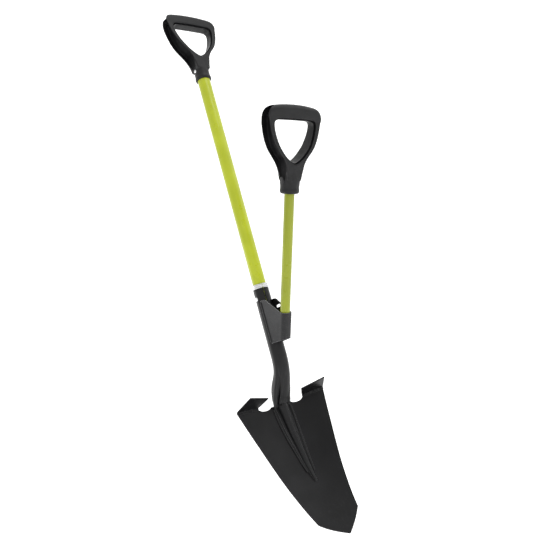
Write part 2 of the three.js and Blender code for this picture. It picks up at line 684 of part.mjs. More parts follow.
const plugR = LEVER_R - LEVER_WALL - 0.3;
const plug = outward(rod(plugR, PIVOT_K, 4, 32).applyMatrix4(onLever(0)));
const knuckleBall = new THREE.SphereGeometry(KNUCKLE_R, 36, 24).applyMatrix4(onLever(PIVOT_K));
const knuckleStub = rod(KNUCKLE_R, PIVOT_K, LEVER_TUBE_FROM - 0.3, 36).applyMatrix4(onLever(0));
const springSlot = new THREE.BoxGeometry(11.2, 40, 38).applyMatrix4(onLever(PIVOT_K - 9.6));
const foot = outward(knuckleBall)
  .add(outward(knuckleStub))
  .add(plug)
  .subtract(outward(springSlot))
  .subtract(outward(bar(...pinLine(20), 4.4, 24)));
add(lever, "lever_foot", geometryOf(foot), BLACK_STEEL);

const sleeve = tube(4.15, PIN_R + 0.2, -9.4, 9.4, 24);
sleeve.rotateY(Math.PI / 2);
sleeve.translate(0, pivot.y, pivot.z);
add(lever, "pivot_sleeve", sleeve, ZINC);

// Torsion spring on the sleeve: its long leg bears on the socket and its short end on the lever's foot.
class SpringPath extends THREE.Curve {
  getPoint(t, target = new THREE.Vector3()) {
    const turns = 3.6;
    const radius = 5.7;
    if (t < 0.62) {
      const s = t / 0.62;
      const a = Math.PI * 0.5 - 2 * Math.PI * turns * (1 - s);
      const y = pivot.y + radius * Math.sin(a);
      const z = pivot.z + radius * Math.cos(a);
      return target.set(-3.9 + 7.8 * s, y, z);
    }
    const s = (t - 0.62) / 0.38;
    const leg = [
      vec(3.9, pivot.y + radius, pivot.z),
      vec(4.3, pivot.y + radius + 2.4, pivot.z + 7),
      vec(4.6, pivot.y + radius + 9, pivot.z + 17),
      vec(4.7, -SOCKET_R - 2.4, -88),
      vec(4.7, -SOCKET_R - 1.1, -80),
      vec(4.7, -SOCKET_R - 1.7, -72),
    ];
    return target.copy(new THREE.CatmullRomCurve3(leg, false, "centripetal").getPoint(s));
  }
}
const wire = new THREE.Shape();
wire.absarc(0, 0, 0.95, 0, 2 * Math.PI);
const spring = new THREE.ExtrudeGeometry(wire, {
  extrudePath: new SpringPath(),
  steps: 90,
  curveSegments: 3,
  bevelEnabled: false,
});
add(frame, "torsion_spring", spring, BLACK_STEEL);

add(lever, "lever_grip", gripGeometry.clone().applyMatrix4(onLever(LEVER_GRIP_K)), BLACK_PLASTIC);
const leverRivet = geometryOf(outward(gripRivet(1))).applyMatrix4(onLever(LEVER_GRIP_K));
add(lever, "lever_grip_rivet", leverRivet, ZINC);
const adapterSkin = tube(GRIP_BORE_R - 0.3, LEVER_R + 0.3, 0.6, 46);
const adapter = outward(adapterSkin.applyMatrix4(onLever(LEVER_GRIP_K))).subtract(leverRivetHole);
add(lever, "lever_grip_adapter", geometryOf(adapter), BLACK_PLASTIC);

spade.children.forEach((group) => group.position.set(0, 0, -HANG_Z));

export default spade;
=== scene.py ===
from math import cos, exp, pi, radians, sin

import bmesh
import bpy
import numpy as np
from mathutils import Euler, Matrix, Vector


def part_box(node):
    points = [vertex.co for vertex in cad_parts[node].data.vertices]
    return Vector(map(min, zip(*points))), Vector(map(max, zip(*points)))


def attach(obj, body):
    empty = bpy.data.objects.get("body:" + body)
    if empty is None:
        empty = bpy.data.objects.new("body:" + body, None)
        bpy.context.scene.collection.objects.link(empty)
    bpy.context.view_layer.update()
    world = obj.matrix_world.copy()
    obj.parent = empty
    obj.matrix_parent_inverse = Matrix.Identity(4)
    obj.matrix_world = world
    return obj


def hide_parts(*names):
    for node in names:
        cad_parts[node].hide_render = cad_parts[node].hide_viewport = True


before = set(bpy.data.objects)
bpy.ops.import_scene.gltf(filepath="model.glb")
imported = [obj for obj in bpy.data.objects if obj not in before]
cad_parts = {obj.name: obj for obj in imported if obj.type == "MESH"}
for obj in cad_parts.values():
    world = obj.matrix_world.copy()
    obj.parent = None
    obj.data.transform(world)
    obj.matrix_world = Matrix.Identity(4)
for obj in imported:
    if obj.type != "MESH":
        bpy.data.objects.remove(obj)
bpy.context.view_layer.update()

# Shapes are worked out in millimetres about the middle of the ferrule: X is the width, -Y the front, +Z up.
FERRULE_LOW, FERRULE_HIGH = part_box("ferrule")
ORIGIN = (FERRULE_LOW + FERRULE_HIGH) / 2
FRAME_BODY = "spade_frame"
LEVER_BODY = "second_handle"

# Tubes, ferrule and socket.
SHAFT_R = 15
SHAFT_WALL = 1.5
SHAFT_BOTTOM_Z = -88
GRIP_Z = 512
GRIP_BORE_DEPTH = 49
FERRULE_R = 18.3
FERRULE_HALF = 5.1
SOCKET_R = 17.6
SOCKET_WALL = 2.2
SOCKET_BORE_BOTTOM_Z = -151
SOCKET_RIVET_Z = -27
SEAM_HALF = 0.7
SEAM_TURN = radians(14)
SEAM_BOTTOM_Z = -66
TUBE_OVERRUN_Z = 5
SHAFT_IN_GRIP = 48
LEVER_IN_GRIP = 46

# Blade.
BLADE_T = 2.2
BLADE_LENGTH = 300
BLADE_SHOULDER = 261
BLADE_TILT = radians(24.7)
BLADE_TOP = np.array([0, 49.4, -257])
STEP_INNER_X = 60.9
STEP_FOLD = 5
STEP_INNER_EDGE = np.array([45.2, 14.6, -238])
STEP_OUTER_EDGE = np.array([100.3, -6.2, -227.3])
EDGE_AT_TOP = 118.6
EDGE_AT_SHOULDER = 53.4
FOLD_LENGTH = 58
DART_HEIGHT = 2.6
DART_WIDTH = 2.6

# Second handle and its bracket.
LEVER_TILT = radians(29)
LEVER_START = np.array([0, -60.9, -80.2])
LEVER_R = 10.5
LEVER_WALL = 1.2
LEVER_TUBE_FROM = -26.5
SPRING_SLOT_TOP = -19
SPRING_SLOT_FOOT = -29
SPRING_SLOT_ACROSS = (2.6, 6.8)
SPRING_SLOT_THROUGH = (5, 14)
LEVER_GRIP_K = 254.5
PIVOT_K = -36
STRAP_R = 10.9
STRAP_T = 1.7
STRAP_TOP_K = 7.5
STRAP_SQUARE = 2.8
STRAP_FOOT_X = 15.8
STRAP_FOOT_Y = -9.4
STRAP_BOTTOM_Z = -129
STRAP_TOP_Z = -33.4
SIGHT_SLOT_R = 2.9
SIGHT_SLOT_FRONT_Y = -34.5
SIGHT_SLOT_BACK_Y = -23.5
SIGHT_SLOT_Z = -53.2
PIN_R = 3
PIN_COVER = 0.4
BRACKET_BEAD_R = 1.9
TANG_BEAD_R = 1.4

# Rivets.
RIVET_HOLE_R = 3.2
RIVET_SHANK_R = 2.9
RIVET_RECESS_R = 5.2
SOCKET_RIVET_INNER = 10.5
GRIP_RIVET_S = 24
MAIN_RIVET_SEAT = 16.6
LEVER_RIVET_SEAT = 19.6

X_AXIS = np.array([1.0, 0, 0])
LEVER_UP = np.array([0, -sin(LEVER_TILT), cos(LEVER_TILT)])
BLADE_DOWN = np.array([0, -sin(BLADE_TILT), -cos(BLADE_TILT)])
BLADE_OUT = np.array([0, -cos(BLADE_TILT), sin(BLADE_TILT)])

# The camera, in metres and degrees.
CAMERA_PLACE = (-0.7155, -1.0186, -0.860)
CAMERA_TURN = (99.915, 15.408, -34.57)
CAMERA_LENS = 36.53


# ---------------------------------------------------------------- shape tools


def eased(rows, at):
    """The columns of a table at keys in its first column, on smooth curves through its rows."""
    rows = np.array(rows, float)
    keys, values = rows[:, 0], rows[:, 1:]
    slopes = np.gradient(values, keys, axis=0)
    at = np.clip(np.atleast_1d(np.asarray(at, float)), keys[0], keys[-1])
    i = np.clip(np.searchsorted(keys, at, side="right") - 1, 0, len(keys) - 2)
    span = (keys[i + 1] - keys[i])[:, None]
    t = (at - keys[i])[:, None] / span
    start = (2 * t**3 - 3 * t**2 + 1) * values[i] + (t**3 - 2 * t**2 + t) * slopes[i] * span
    end = (3 * t**2 - 2 * t**3) * values[i + 1] + (t**3 - t**2) * slopes[i + 1] * span
    return start + end


def at_stations(table, at):
    """The rows of a table at places counted along it from its first row, on smooth curves."""
    return eased([(i, *row) for i, row in enumerate(table)], at)


def signed_power(v, power):
    return np.sign(v) * np.abs(v) ** power


def unit(v):
    return v / np.linalg.norm(v)


def loft(rings, loop=False):
    """A closed skin through rings of points; with loop it also runs from the last ring to the first."""
    rings = np.asarray(rings, float)
    count, n = rings.shape[:2]
    faces = []
    for j in range(count if loop else count - 1):
        a, b = j * n, (j + 1) % count * n
        faces += [(a + i, a + (i + 1) % n, b + (i + 1) % n, b + i) for i in range(n)]
    if not loop:
        faces.append(tuple(reversed(range(n))))
        faces.append(tuple(range((count - 1) * n, count * n)))
    return rings.reshape(-1, 3), faces


def turned(profile, sides=72):
    """A turned piece about Z from a closed profile of (radius, z); radii of zero meet on the axis."""
    angles = np.linspace(0, 2 * pi, sides, endpoint=False)
    rings = [[(r * cos(a), r * sin(a), z) for r, z in profile] for a in angles]
    return loft(rings, loop=True)


def rounded(profile, radius=0.5, parts=3):
    """A closed profile with its corners rounded."""
    profile = [np.array(p, float) for p in profile]
    result = []
    for i, corner in enumerate(profile):
        before, after = profile[i - 1], profile[(i + 1) % len(profile)]
        reach = min(radius, np.linalg.norm(before - corner) * 0.45, np.linalg.norm(after - corner) * 0.45)
        start = corner + unit(before - corner) * reach
        end = corner + unit(after - corner) * reach
        for t in np.linspace(0, 1, parts + 1):
            result.append((1 - t) ** 2 * start + 2 * t * (1 - t) * corner + t**2 * end)
    return [tuple(p) for p in result]


def bar(start, end, radius, sides=40):
    """A solid cylinder between two points."""
    start, end = np.array(start, float), np.array(end, float)
    along = unit(end - start)
    side = unit(np.cross(along, [0.3, 1, 0.2]))
    up = np.cross(along, side)
    turn = np.linspace(0, 2 * pi, sides, endpoint=False)
    ring = radius * (np.cos(turn)[:, None] * side + np.sin(turn)[:, None] * up)
    return loft([start + ring, end + ring])


def placed(shape, matrix):
    """A shape moved by a 3x3 turn and an offset."""
    points, faces = shape
    turn, offset = matrix
    return points @ np.array(turn).T + np.array(offset), faces


def on_lever(k):
    c, s = cos(LEVER_TILT), sin(LEVER_TILT)
    return [[1, 0, 0], [0, c, -s], [0, s, c]], LEVER_START + LEVER_UP * k


def on_shaft(z):
    return np.eye(3), [0, 0, z]


def new_object(name, shape):
    """A mesh object in the row frame, its doubled points joined and its faces turned outward."""
    points, faces = shape
    mesh = bpy.data.meshes.new(name)
    mesh.from_pydata((np.asarray(points) / 1000 + np.array(ORIGIN)).tolist(), [], faces)
    editable = bmesh.new()
    editable.from_mesh(mesh)
    bmesh.ops.remove_doubles(editable, verts=editable.verts, dist=2e-6)
    bmesh.ops.dissolve_degenerate(editable, edges=editable.edges, dist=1e-6)
    bmesh.ops.recalc_face_normals(editable, faces=editable.faces)
    editable.to_mesh(mesh)
    editable.free()
    made = bpy.data.objects.new(name, mesh)
    bpy.context.scene.collection.objects.link(made)
    return made


def apply_modifiers(made):
    bpy.context.view_layer.update()
    mesh = bpy.data.meshes.new_from_object(made.evaluated_get(bpy.context.evaluated_depsgraph_get()))
    made.modifiers.clear()
    made.data = mesh


def boolean(made, shape, operation="DIFFERENCE", material=None):
    """Cuts a shape out of an object, or joins it on; the new faces may take a material of their own."""
    other = new_object("tool", shape)
    modifier = made.modifiers.new("boolean", "BOOLEAN")
    modifier.solver = "EXACT"
    if material:
        other.data.materials.append(material)
        modifier.material_mode = "TRANSFER"
    modifier.operation = operation
    modifier.object = other
    apply_modifiers(made)
    bpy.data.objects.remove(other)


def bevel(made, width, segments=2, angle=40):
    modifier = made.modifiers.new("bevel", "BEVEL")
    modifier.width = width / 1000
    modifier.segments = segments
    modifier.limit_method = "ANGLE"
    modifier.angle_limit = radians(angle)
    apply_modifiers(made)


def finished(made, material, body, nodes, sharp=35):
    """Smooth shading, material, body and replaced nodes of a piece whose shape is final."""
    if not made.data.materials:
        made.data.materials.append(material)
    made.data.shade_smooth()
    made.data.set_sharp_from_angle(angle=radians(sharp))
    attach(made, body)
    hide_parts(*nodes)
    return made


# ---------------------------------------------------------------- materials


class Look:
    """A procedural material; its patterns lie in the row frame, in metres."""

    def __init__(self, name, metallic=0.0, **sockets):
        self.material = bpy.data.materials.new(name)
        self.material.use_nodes = True
        self.tree = self.material.node_tree
        self.shader = self.tree.nodes["Principled BSDF"]
        self.shader.inputs["Metallic"].default_value = metallic
        for socket, value in sockets.items():
            self.shader.inputs[socket.replace("_", " ")].default_value = value
        self.place = self.tree.nodes.new("ShaderNodeTexCoord").outputs["Object"]
        self.height = None

    def link(self, output, target):
        self.tree.links.new(output, target)

    def noise(self, scale, detail=4, stretch=(1, 1, 1), roughness=0.55):
        """Noise from 0 to 1 with scale features to the metre, stretched along an axis by a small factor."""
        mapping = self.tree.nodes.new("ShaderNodeMapping")
        mapping.inputs["Scale"].default_value = stretch
        self.link(self.place, mapping.inputs["Vector"])
        node = self.tree.nodes.new("ShaderNodeTexNoise")
        node.inputs["Scale"].default_value = scale
        node.inputs["Detail"].default_value = detail
        node.inputs["Roughness"].default_value = roughness
        self.link(mapping.outputs["Vector"], node.inputs["Vector"])
        return node.outputs["Fac"]

    def ranged(self, value, low, high, to_low, to_high):
        node = self.tree.nodes.new("ShaderNodeMapRange")
        node.interpolation_type = "SMOOTHSTEP"
        limits = {"From Min": low, "From Max": high, "To Min": to_low, "To Max": to_high}
        for socket, number in limits.items():
            node.inputs[socket].default_value = number
        self.link(value, node.inputs["Value"])
        return node.outputs["Result"]

    def times(self, a, b):
        node = self.tree.nodes.new("ShaderNodeMath")
        node.operation = "MULTIPLY"
        self.link(a, node.inputs[0])
        self.link(b, node.inputs[1])
        return node.outputs[0]

    def mix(self, factor, first, second):
        """A colour between two; each is an RGB triple or another mix."""
        node = self.tree.nodes.new("ShaderNodeMix")
        node.data_type = "RGBA"
        self.link(factor, node.inputs["Factor"])
        for name, colour in (("A", first), ("B", second)):
            socket = [s for s in node.inputs if s.name == name and s.type == "RGBA"][0]
            if isinstance(colour, tuple):
                socket.default_value = (*colour, 1)
            else:
                self.link(colour, socket)
        return [s for s in node.outputs if s.type == "RGBA"][0]

    def edges(self, reach):
        """One along sharp edges, reach metres wide, and zero on smooth faces."""
        rounded_off = self.tree.nodes.new("ShaderNodeBevel")
        rounded_off.samples = 4
        rounded_off.inputs["Radius"].default_value = reach
        geometry = self.tree.nodes.new("ShaderNodeNewGeometry")
        compare = self.tree.nodes.new("ShaderNodeVectorMath")
        compare.operation = "DOT_PRODUCT"
        self.link(rounded_off.outputs["Normal"], compare.inputs[0])
        self.link(geometry.outputs["Normal"], compare.inputs[1])
        return self.ranged(compare.outputs["Value"], 0.8, 0.99, 1, 0)

    def along_z(self, low, high):
        """Zero below a height in metres in the row frame and one above the other."""
        node = self.tree.nodes.new("ShaderNodeSeparateXYZ")
        self.link(self.place, node.inputs["Vector"])
        return self.ranged(node.outputs["Z"], low, high, 0, 1)

    def bump(self, value, depth, strength=1.0):
        """Adds relief, depth metres high."""
        node = self.tree.nodes.new("ShaderNodeBump")
        node.inputs["Distance"].default_value = depth
        node.inputs["Strength"].default_value = strength
        self.link(value, node.inputs["Height"])
        if self.height is not None:
            self.link(self.height, node.inputs["Normal"])
        self.height = node.outputs["Normal"]

    def done(self, colour, roughness):
        self.link(colour, self.shader.inputs["Base Color"])
        self.link(roughness, self.shader.inputs["Roughness"])
        if self.height is not None:
            self.link(self.height, self.shader.inputs["Normal"])
        return self.material


def black_paint(
    name, dark, light, shine, gloss, wear_and_highlight=(0.06, 0.06, 0.063), rub_and_highlight=0.7, reach=0.0008, scuffs=False,
):
    """Black paint on pressed steel: slight orange peel, cloudy sheen, and edges lightened by a painted
    highlight with a little rubbed wear.
    """
    look = Look(name, Specular_IOR_Level=shine)
    clouds = look.noise(9, 3)
    grain = look.noise(420, 2)
    colour = look.mix(look.ranged(clouds, 0.35, 0.68, 0, 1), dark, light)
    colour = look.mix(look.ranged(grain, 0.55, 0.8, 0, 0.07), colour, wear_and_highlight)
    # Sharp edges are lightened towards the light colour. This is a painted highlight along the edges, with
    # a little rubbed wear.
    rubbed_and_highlit = look.times(look.edges(reach), look.ranged(look.noise(70, 5), 0.35, 0.65, rub_and_highlight * 0.5, rub_and_highlight))
    colour = look.mix(rubbed_and_highlit, colour, wear_and_highlight)
    roughness = look.ranged(look.noise(26, 4), 0.3, 0.7, *gloss)
    look.bump(look.noise(620, 2), 0.00005)
    look.bump(look.noise(38, 2), 0.0003, 0.4)
    if scuffs:
        streaks = look.noise(170, 4, stretch=(1, 1, 0.05))
        low = look.ranged(look.along_z(-1.17, -1.05), 0, 1, 1, 0)
        mark = look.times(look.ranged(streaks, 0.5, 0.75, 0, 0.06), low)
        colour = look.mix(mark, colour, wear_and_highlight)
        look.bump(streaks, 0.00004, 0.4)
    return look.done(colour, roughness)


def lime_enamel(name, deep, bright):
    """Lime enamel over drawn tube: a clear gloss coat, faint draw lines and a little dust."""
    look = Look(name, Specular_IOR_Level=0.3, Coat_Weight=0.25, Coat_Roughness=0.14)
    clouds = look.noise(14, 3)
    colour = look.mix(look.ranged(clouds, 0.35, 0.7, 0, 1), deep, bright)
    specks = look.ranged(look.noise(260, 3), 0.68, 0.8, 0, 0.3)
    colour = look.mix(specks, colour, (0.25, 0.29, 0.03))
    roughness = look.ranged(look.noise(45, 3), 0.3, 0.7, 0.26, 0.38)
    look.bump(look.noise(520, 2), 0.00005)
    look.bump(look.noise(150, 2, stretch=(1, 1, 0.04)), 0.00005, 0.6)
    return look.done(colour, roughness)


def black_plastic(name, shine, rub_and_highlight):
    """Moulded black plastic: a fine spark-eroded grain, flow lines, and edges lightened by a painted
    highlight with a little polish from handling.
    """
    look = Look(name, Specular_IOR_Level=shine)
    flow = look.noise(22, 4, stretch=(1, 1, 3))
    blend = look.ranged(flow, 0.35, 0.7, 0, 1)
    colour = look.mix(blend, (0.0055, 0.0055, 0.006), (0.0085, 0.0085, 0.0092))
    # Sharp edges are lightened towards grey. This is a painted highlight along the edges, with a little
    # polish from handling.
    polished_and_highlit = look.times(look.edges(0.0009), look.ranged(look.noise(80, 3), 0.35, 0.6, rub_and_highlight * 0.4, rub_and_highlight))
    colour = look.mix(polished_and_highlit, colour, (0.05, 0.05, 0.052))
    roughness = look.ranged(look.noise(70, 3), 0.3, 0.7, 0.36, 0.5)
    look.bump(look.noise(1500, 2), 0.00007, 0.8)
    look.bump(look.noise(300, 2, stretch=(0.08, 1, 1)), 0.00008, 0.5)
    return look.done(colour, roughness)


def zinc(name, stretch=(1, 1, 20), tint=(0.52, 0.525, 0.535), gloss=(0.2, 0.34)):
    """Bright zinc plate with turning marks round it."""
    look = Look(name, metallic=1.0)
    marks = look.noise(120, 3, stretch=stretch)
    colour = look.mix(look.ranged(look.noise(60, 4), 0.35, 0.7, 0, 1), tint, (0.68, 0.685, 0.69))
    roughness = look.ranged(marks, 0.3, 0.7, *gloss)
    look.bump(marks, 0.00003, 0.6)
    return look.done(colour, roughness)


def plain_steel(name):
    """Oiled dark steel of the parts inside the bracket."""
    look = Look(name, metallic=0.8)
    stains = look.ranged(look.noise(90, 4), 0.35, 0.7, 0, 1)
    colour = look.mix(stains, (0.07, 0.068, 0.065), (0.16, 0.155, 0.15))
    roughness = look.ranged(look.noise(140, 3), 0.3, 0.7, 0.35, 0.55)
    look.bump(look.noise(500, 3), 0.00004)
    return look.done(colour, roughness)


BLADE_PAINT = black_paint(
    "blade_paint", (0.0042, 0.0042, 0.0046), (0.0068, 0.0068, 0.0074), 0.14, (0.31, 0.43), scuffs=True,
)
SOCKET_PAINT = black_paint(
    "socket_paint", (0.005, 0.005, 0.0055), (0.0075, 0.0075, 0.008), 0.26, (0.26, 0.36),
)
# The bracket's light edge colour, strong rub and wide reach paint a bright highlight along its sharp edges,
# standing in for the glint on the plate's top edge.
BRACKET_PAINT = black_paint(
    "bracket_paint", (0.009, 0.009, 0.0098), (0.013, 0.013, 0.014), 0.27, (0.36, 0.48),
    wear_and_highlight=(0.4, 0.4, 0.41), rub_and_highlight=0.95, reach=0.0014,
)
WELD_PAINT = black_paint(
    "weld_paint", (0.009, 0.009, 0.0096), (0.013, 0.013, 0.0138), 0.36, (0.34, 0.46),
)
SHAFT_LIME = lime_enamel("shaft_lime", (0.35, 0.40, 0.010), (0.40, 0.455, 0.015))
# The second tube's lime is the shaft's lime made darker. This is painted shade for a tube that leans
# forward and faces away from the light above.
LEVER_LIME_PAINTED_SHADE = lime_enamel("lever_lime_painted_shade", (0.222, 0.256, 0.008), (0.26, 0.298, 0.012))
GRIP_PLASTIC = black_plastic("grip_plastic", 0.26, 0.8)
# A dull copy of the grip plastic on the faces of cut hollows. It is painted shade that keeps the channel,
# the rabbet and the bore black.
PAINTED_SHADE_PLASTIC = black_plastic("painted_shade_plastic", 0.05, 0.2)
RING_ZINC = zinc("ferrule_zinc")
RIVET_ZINC = zinc("rivet_zinc", stretch=(1, 1, 1), tint=(0.8, 0.81, 0.82), gloss=(0.16, 0.3))
INNER_STEEL = plain_steel("inner_steel")


# ---------------------------------------------------------------- blade

# How far the hollow face stands forward at points down the blade, along its middle and along its edge.
CENTRE_DEPTH = [
    (-6, 8), (5, 5.6), (65, -6.8), (115, -13), (150, -15.8), (180, -15.4), (228, -12), (261, -7),
    (300, 1.5),
]
EDGE_DEPTH = [
    (-6, 20.6), (0, 19.5), (40, 12), (80, 5.5), (120, -1), (160, -6.3), (200, -8.3), (240, -7), (261, -4.5),
    (300, 1.5),
]
STEP_SHARE = STEP_INNER_X / EDGE_AT_TOP
COLUMNS = np.concatenate([np.linspace(0, STEP_SHARE, 21)[:-1], np.linspace(STEP_SHARE, 1, 26)])
STEP_COLUMN = 20
BLADE_ROWS = np.concatenate([
    [STEP_FOLD], np.arange(8, BLADE_SHOULDER, 5), np.linspace(BLADE_SHOULDER, BLADE_LENGTH, 12),
])


def half_width(u):
    """Half of the blade's width u below its top."""
    if u <= BLADE_SHOULDER:
        return EDGE_AT_TOP + (EDGE_AT_SHOULDER - EDGE_AT_TOP) * u / BLADE_SHOULDER
    t = (u - BLADE_SHOULDER) / (BLADE_LENGTH - BLADE_SHOULDER)
    return EDGE_AT_SHOULDER * (1 - t) + 3.5 * sin(pi * t) + 0.6 * t


def face_point(x, u, above=0.0):
    """A point on the blade's hollow face, or above it."""
    share = min(abs(x) / half_width(min(u, BLADE_SHOULDER)), 1.02)
    centre = eased(CENTRE_DEPTH, u)[0, 0]
    edge = eased(EDGE_DEPTH, u)[0, 0]
    depth = centre + (edge - centre) * share**2
    return np.array([x, 0, 0]) + BLADE_TOP + BLADE_DOWN * u + BLADE_OUT * (depth + above)


def dart(t, across):
    """Height of the small stiffening darts pressed into a step's fold, t along it from 0 to 1."""
    away = [(t - middle) * FOLD_LENGTH / DART_WIDTH for middle in (0.36, 0.72)]
    return sum(DART_HEIGHT * exp(-(a**2)) * across for a in away)


def step_columns(side):
    """Columns of points down one foot step: flat tread, fold with its darts, then the blade's face."""
    inner = face_point(STEP_INNER_X, 0, -BLADE_T / 2)
    outer = face_point(EDGE_AT_TOP, 0, -BLADE_T / 2)
    normal = unit(np.cross(unit(outer - inner), STEP_OUTER_EDGE - outer))
    inner_edge = STEP_INNER_EDGE + normal * np.dot(inner - STEP_INNER_EDGE, normal)
    columns = []
    for s in COLUMNS[STEP_COLUMN:]:
        t = (s - STEP_SHARE) / (1 - STEP_SHARE)
        bend = inner + (outer - inner) * t
        free = inner_edge + (STEP_OUTER_EDGE - inner_edge) * t
        tread = unit(free - bend)
        start = bend + tread * STEP_FOLD
        down = [free + (start - free) * a for a in np.linspace(0, 1, 9)]
        below = bend + BLADE_DOWN * STEP_FOLD
        for a in np.linspace(0, 1, 9)[1:-1]:
            point = (1 - a) ** 2 * start + 2 * a * (1 - a) * bend + a**2 * below
            inward = unit(tread + BLADE_DOWN)
            down.append(point + inward * dart(t, sin(pi * a)))
        columns.append([p * [side, 1, 1] for p in down])
    return columns


def blade_grid():
    """The blade's middle sheet as rows of points, with None where the sheet is left out."""
    step_rows = 16
    width = 2 * len(COLUMNS) - 1
    grid = [[None] * width for _ in range(step_rows)]
    shares = np.concatenate([-COLUMNS[:0:-1], COLUMNS])
    for u in BLADE_ROWS:
        grid.append([face_point(s * half_width(u), u, -BLADE_T / 2) for s in shares])
    for side in (-1, 1):
        for i, column in enumerate(step_columns(side)):
            at = len(COLUMNS) - 1 + side * (i + STEP_COLUMN)
            for row, point in enumerate(column):
                grid[row][at] = point
    return grid


def sheet(grid, thickness):
    """A sheet of even thickness over a grid of middle points."""
    height, width = len(grid), len(grid[0])

    def at(j, i):
        return grid[j][i] if 0 <= j < height and 0 <= i < width else None

    def either(j, i, other):
        found = at(j, i)
        return other if found is None else found

    def whole(j, i):
        return all(at(*corner) is not None for corner in ((j, i), (j, i + 1), (j + 1, i), (j + 1, i + 1)))

    points, faces, index = [], [], {}
    for j in range(height):
        for i in range(width):
            p = at(j, i)
            if p is None:
                continue
            across = either(j, i + 1, p) - either(j, i - 1, p)
            down = either(j + 1, i, p) - either(j - 1, i, p)
            out = unit(np.cross(across, down)) * thickness / 2
            index[j, i] = len(points)
            points += [p - out, p + out]
    for j in range(height - 1):
        for i in range(width - 1):
            if not whole(j, i):
                continue
            corners = [index[j, i], index[j, i + 1], index[j + 1, i + 1], index[j + 1, i]]
            faces.append(tuple(corners))
            faces.append(tuple(c + 1 for c in reversed(corners)))
            beside = [whole(j - 1, i), whole(j, i + 1), whole(j + 1, i), whole(j, i - 1)]
            for k, joined in enumerate(beside):
                if not joined:
                    a, b = corners[k], corners[(k + 1) % 4]
                    faces.append((a, b, b + 1, a + 1))
    return np.array(points), faces


def bezier(points, parts):
    a, b, c, d = (np.array(p, float) for p in points)
    steps = np.linspace(0, 1, parts + 1)[1:]
    return [(1 - t) ** 3 * a + 3 * t * (1 - t) ** 2 * b + 3 * t**2 * (1 - t) * c + t**3 * d for t in steps]


def notch(side):
    """The rounded notch between the socket and a foot step, as a prism through the sheet."""
    inner = STEP_INNER_X - 0.3
    outline = [np.array(p, float) for p in ((24.6, -12), (25.2, 1))]
    outline += bezier([(25.2, 1), (26.5, 7.5), (34, 9.8), (43, 9.8)], 10)
    outline += bezier([(43, 9.8), (52, 9.8), (58.5, 7.5), (inner, 2.6)], 10)
    outline.append(np.array([inner, -12]))
    flat = [BLADE_TOP + X_AXIS * side * x + BLADE_DOWN * u for x, u in outline]
    return loft([[p + BLADE_OUT * depth for p in flat] for depth in (-16, 14)])


def make_blade():
    blade = new_object("blade_sheet", sheet(blade_grid(), BLADE_T))
    for side in (-1, 1):
        boolean(blade, notch(side))
    bevel(blade, 0.5)
    finished(blade, BLADE_PAINT, FRAME_BODY, ["blade"])


# ---------------------------------------------------------------- socket, neck and tang

# Back and front points (y, z) of the neck's section, its half-width, how far it has opened out and its
# side groove.
NECK = [
    (17.6, -5.5, -17.6, -5.5, 17.6, 0, 0), (17.6, -60, -17.6, -60, 17.6, 0, 0),
    (17.6, -110, -17.6, -110, 17.6, 0, 0), (17.6, -150, -17.6, -152, 17.6, 0, 0),
    (17.9, -161, -17.2, -165, 17.6, 0, 0),
    (19.2, -174, -15.2, -182.2, 17.6, 0, 0.03), (21.4, -184, -12.6, -193.2, 17.6, 0.05, 0.1),
    (24.2, -193.4, -9.2, -203.6, 17.6, 0.2, 0.19), (27.6, -201.5, -4.9, -214.5, 17.5, 0.45, 0.28),
    (31.2, -209.5, -0.2, -225, 17.5, 0.72, 0.35), (34.8, -218, 5.2, -235, 17.6, 0.92, 0.4),
    (38, -227, 11, -243.5, 18.2, 1, 0.44), (40.4, -236, 17.2, -251, 19, 1, 0.46),
    (41.8, -245.5, 22.4, -258.5, 19.6, 1, 0.46),
]
# Down the blade: height of the crest, its half-width, half-width over the lips and the lips' height.
TANG = [
    (12, 16.5, 13, 22.4, 4), (24, 15, 11.6, 22.2, 4), (40, 13.2, 10.6, 21.6, 3.8),
    (60, 11.2, 9.6, 20.4, 3.5),
    (85, 9, 8.2, 17.8, 3.2), (110, 7, 6.8, 14.6, 2.9), (135, 5.4, 5.6, 11.4, 2.5), (158, 4.2, 4.4, 8, 2.1),
    (172, 3.6, 4, 6.2, 1.8), (179, 2.4, 3, 4.6, 1.2), (182, 0.6, 1.6, 2.4, 0.3),
]
TANG_END = 182
WING = 22.4
FRONT_POINTS = 49
BACK_POINTS = 15


def crest_profile(crest, high, wide, lip):
    """Front of the open section as (x, height): a round crest, a valley on each side and an outer lip."""
    lip_half = min(2.4, wide * 0.16)
    lip_at = wide - lip_half
    floor = 0.35 * lip
    xs = np.concatenate([
        np.linspace(-wide, -wide + 2 * lip_half, 9),
        np.linspace(-wide + 2 * lip_half, -crest, 6)[1:-1],
        -crest * np.cos(np.linspace(0, pi, 23)),
        np.linspace(crest, wide - 2 * lip_half, 6)[1:-1],
        np.linspace(wide - 2 * lip_half, wide, 9),
    ])
    away = np.abs(xs)
    crest_height = floor + (high - floor) * np.clip(1 - (away / crest) ** 2, 0, 1) ** 0.62
    lip_height = lip * np.clip(1 - ((away - lip_at) / lip_half) ** 2, 0, 1) ** 0.5
    valley = np.where(away < lip_at, floor, 0.0)
    return xs, np.maximum.reduce([crest_height, lip_height, valley])


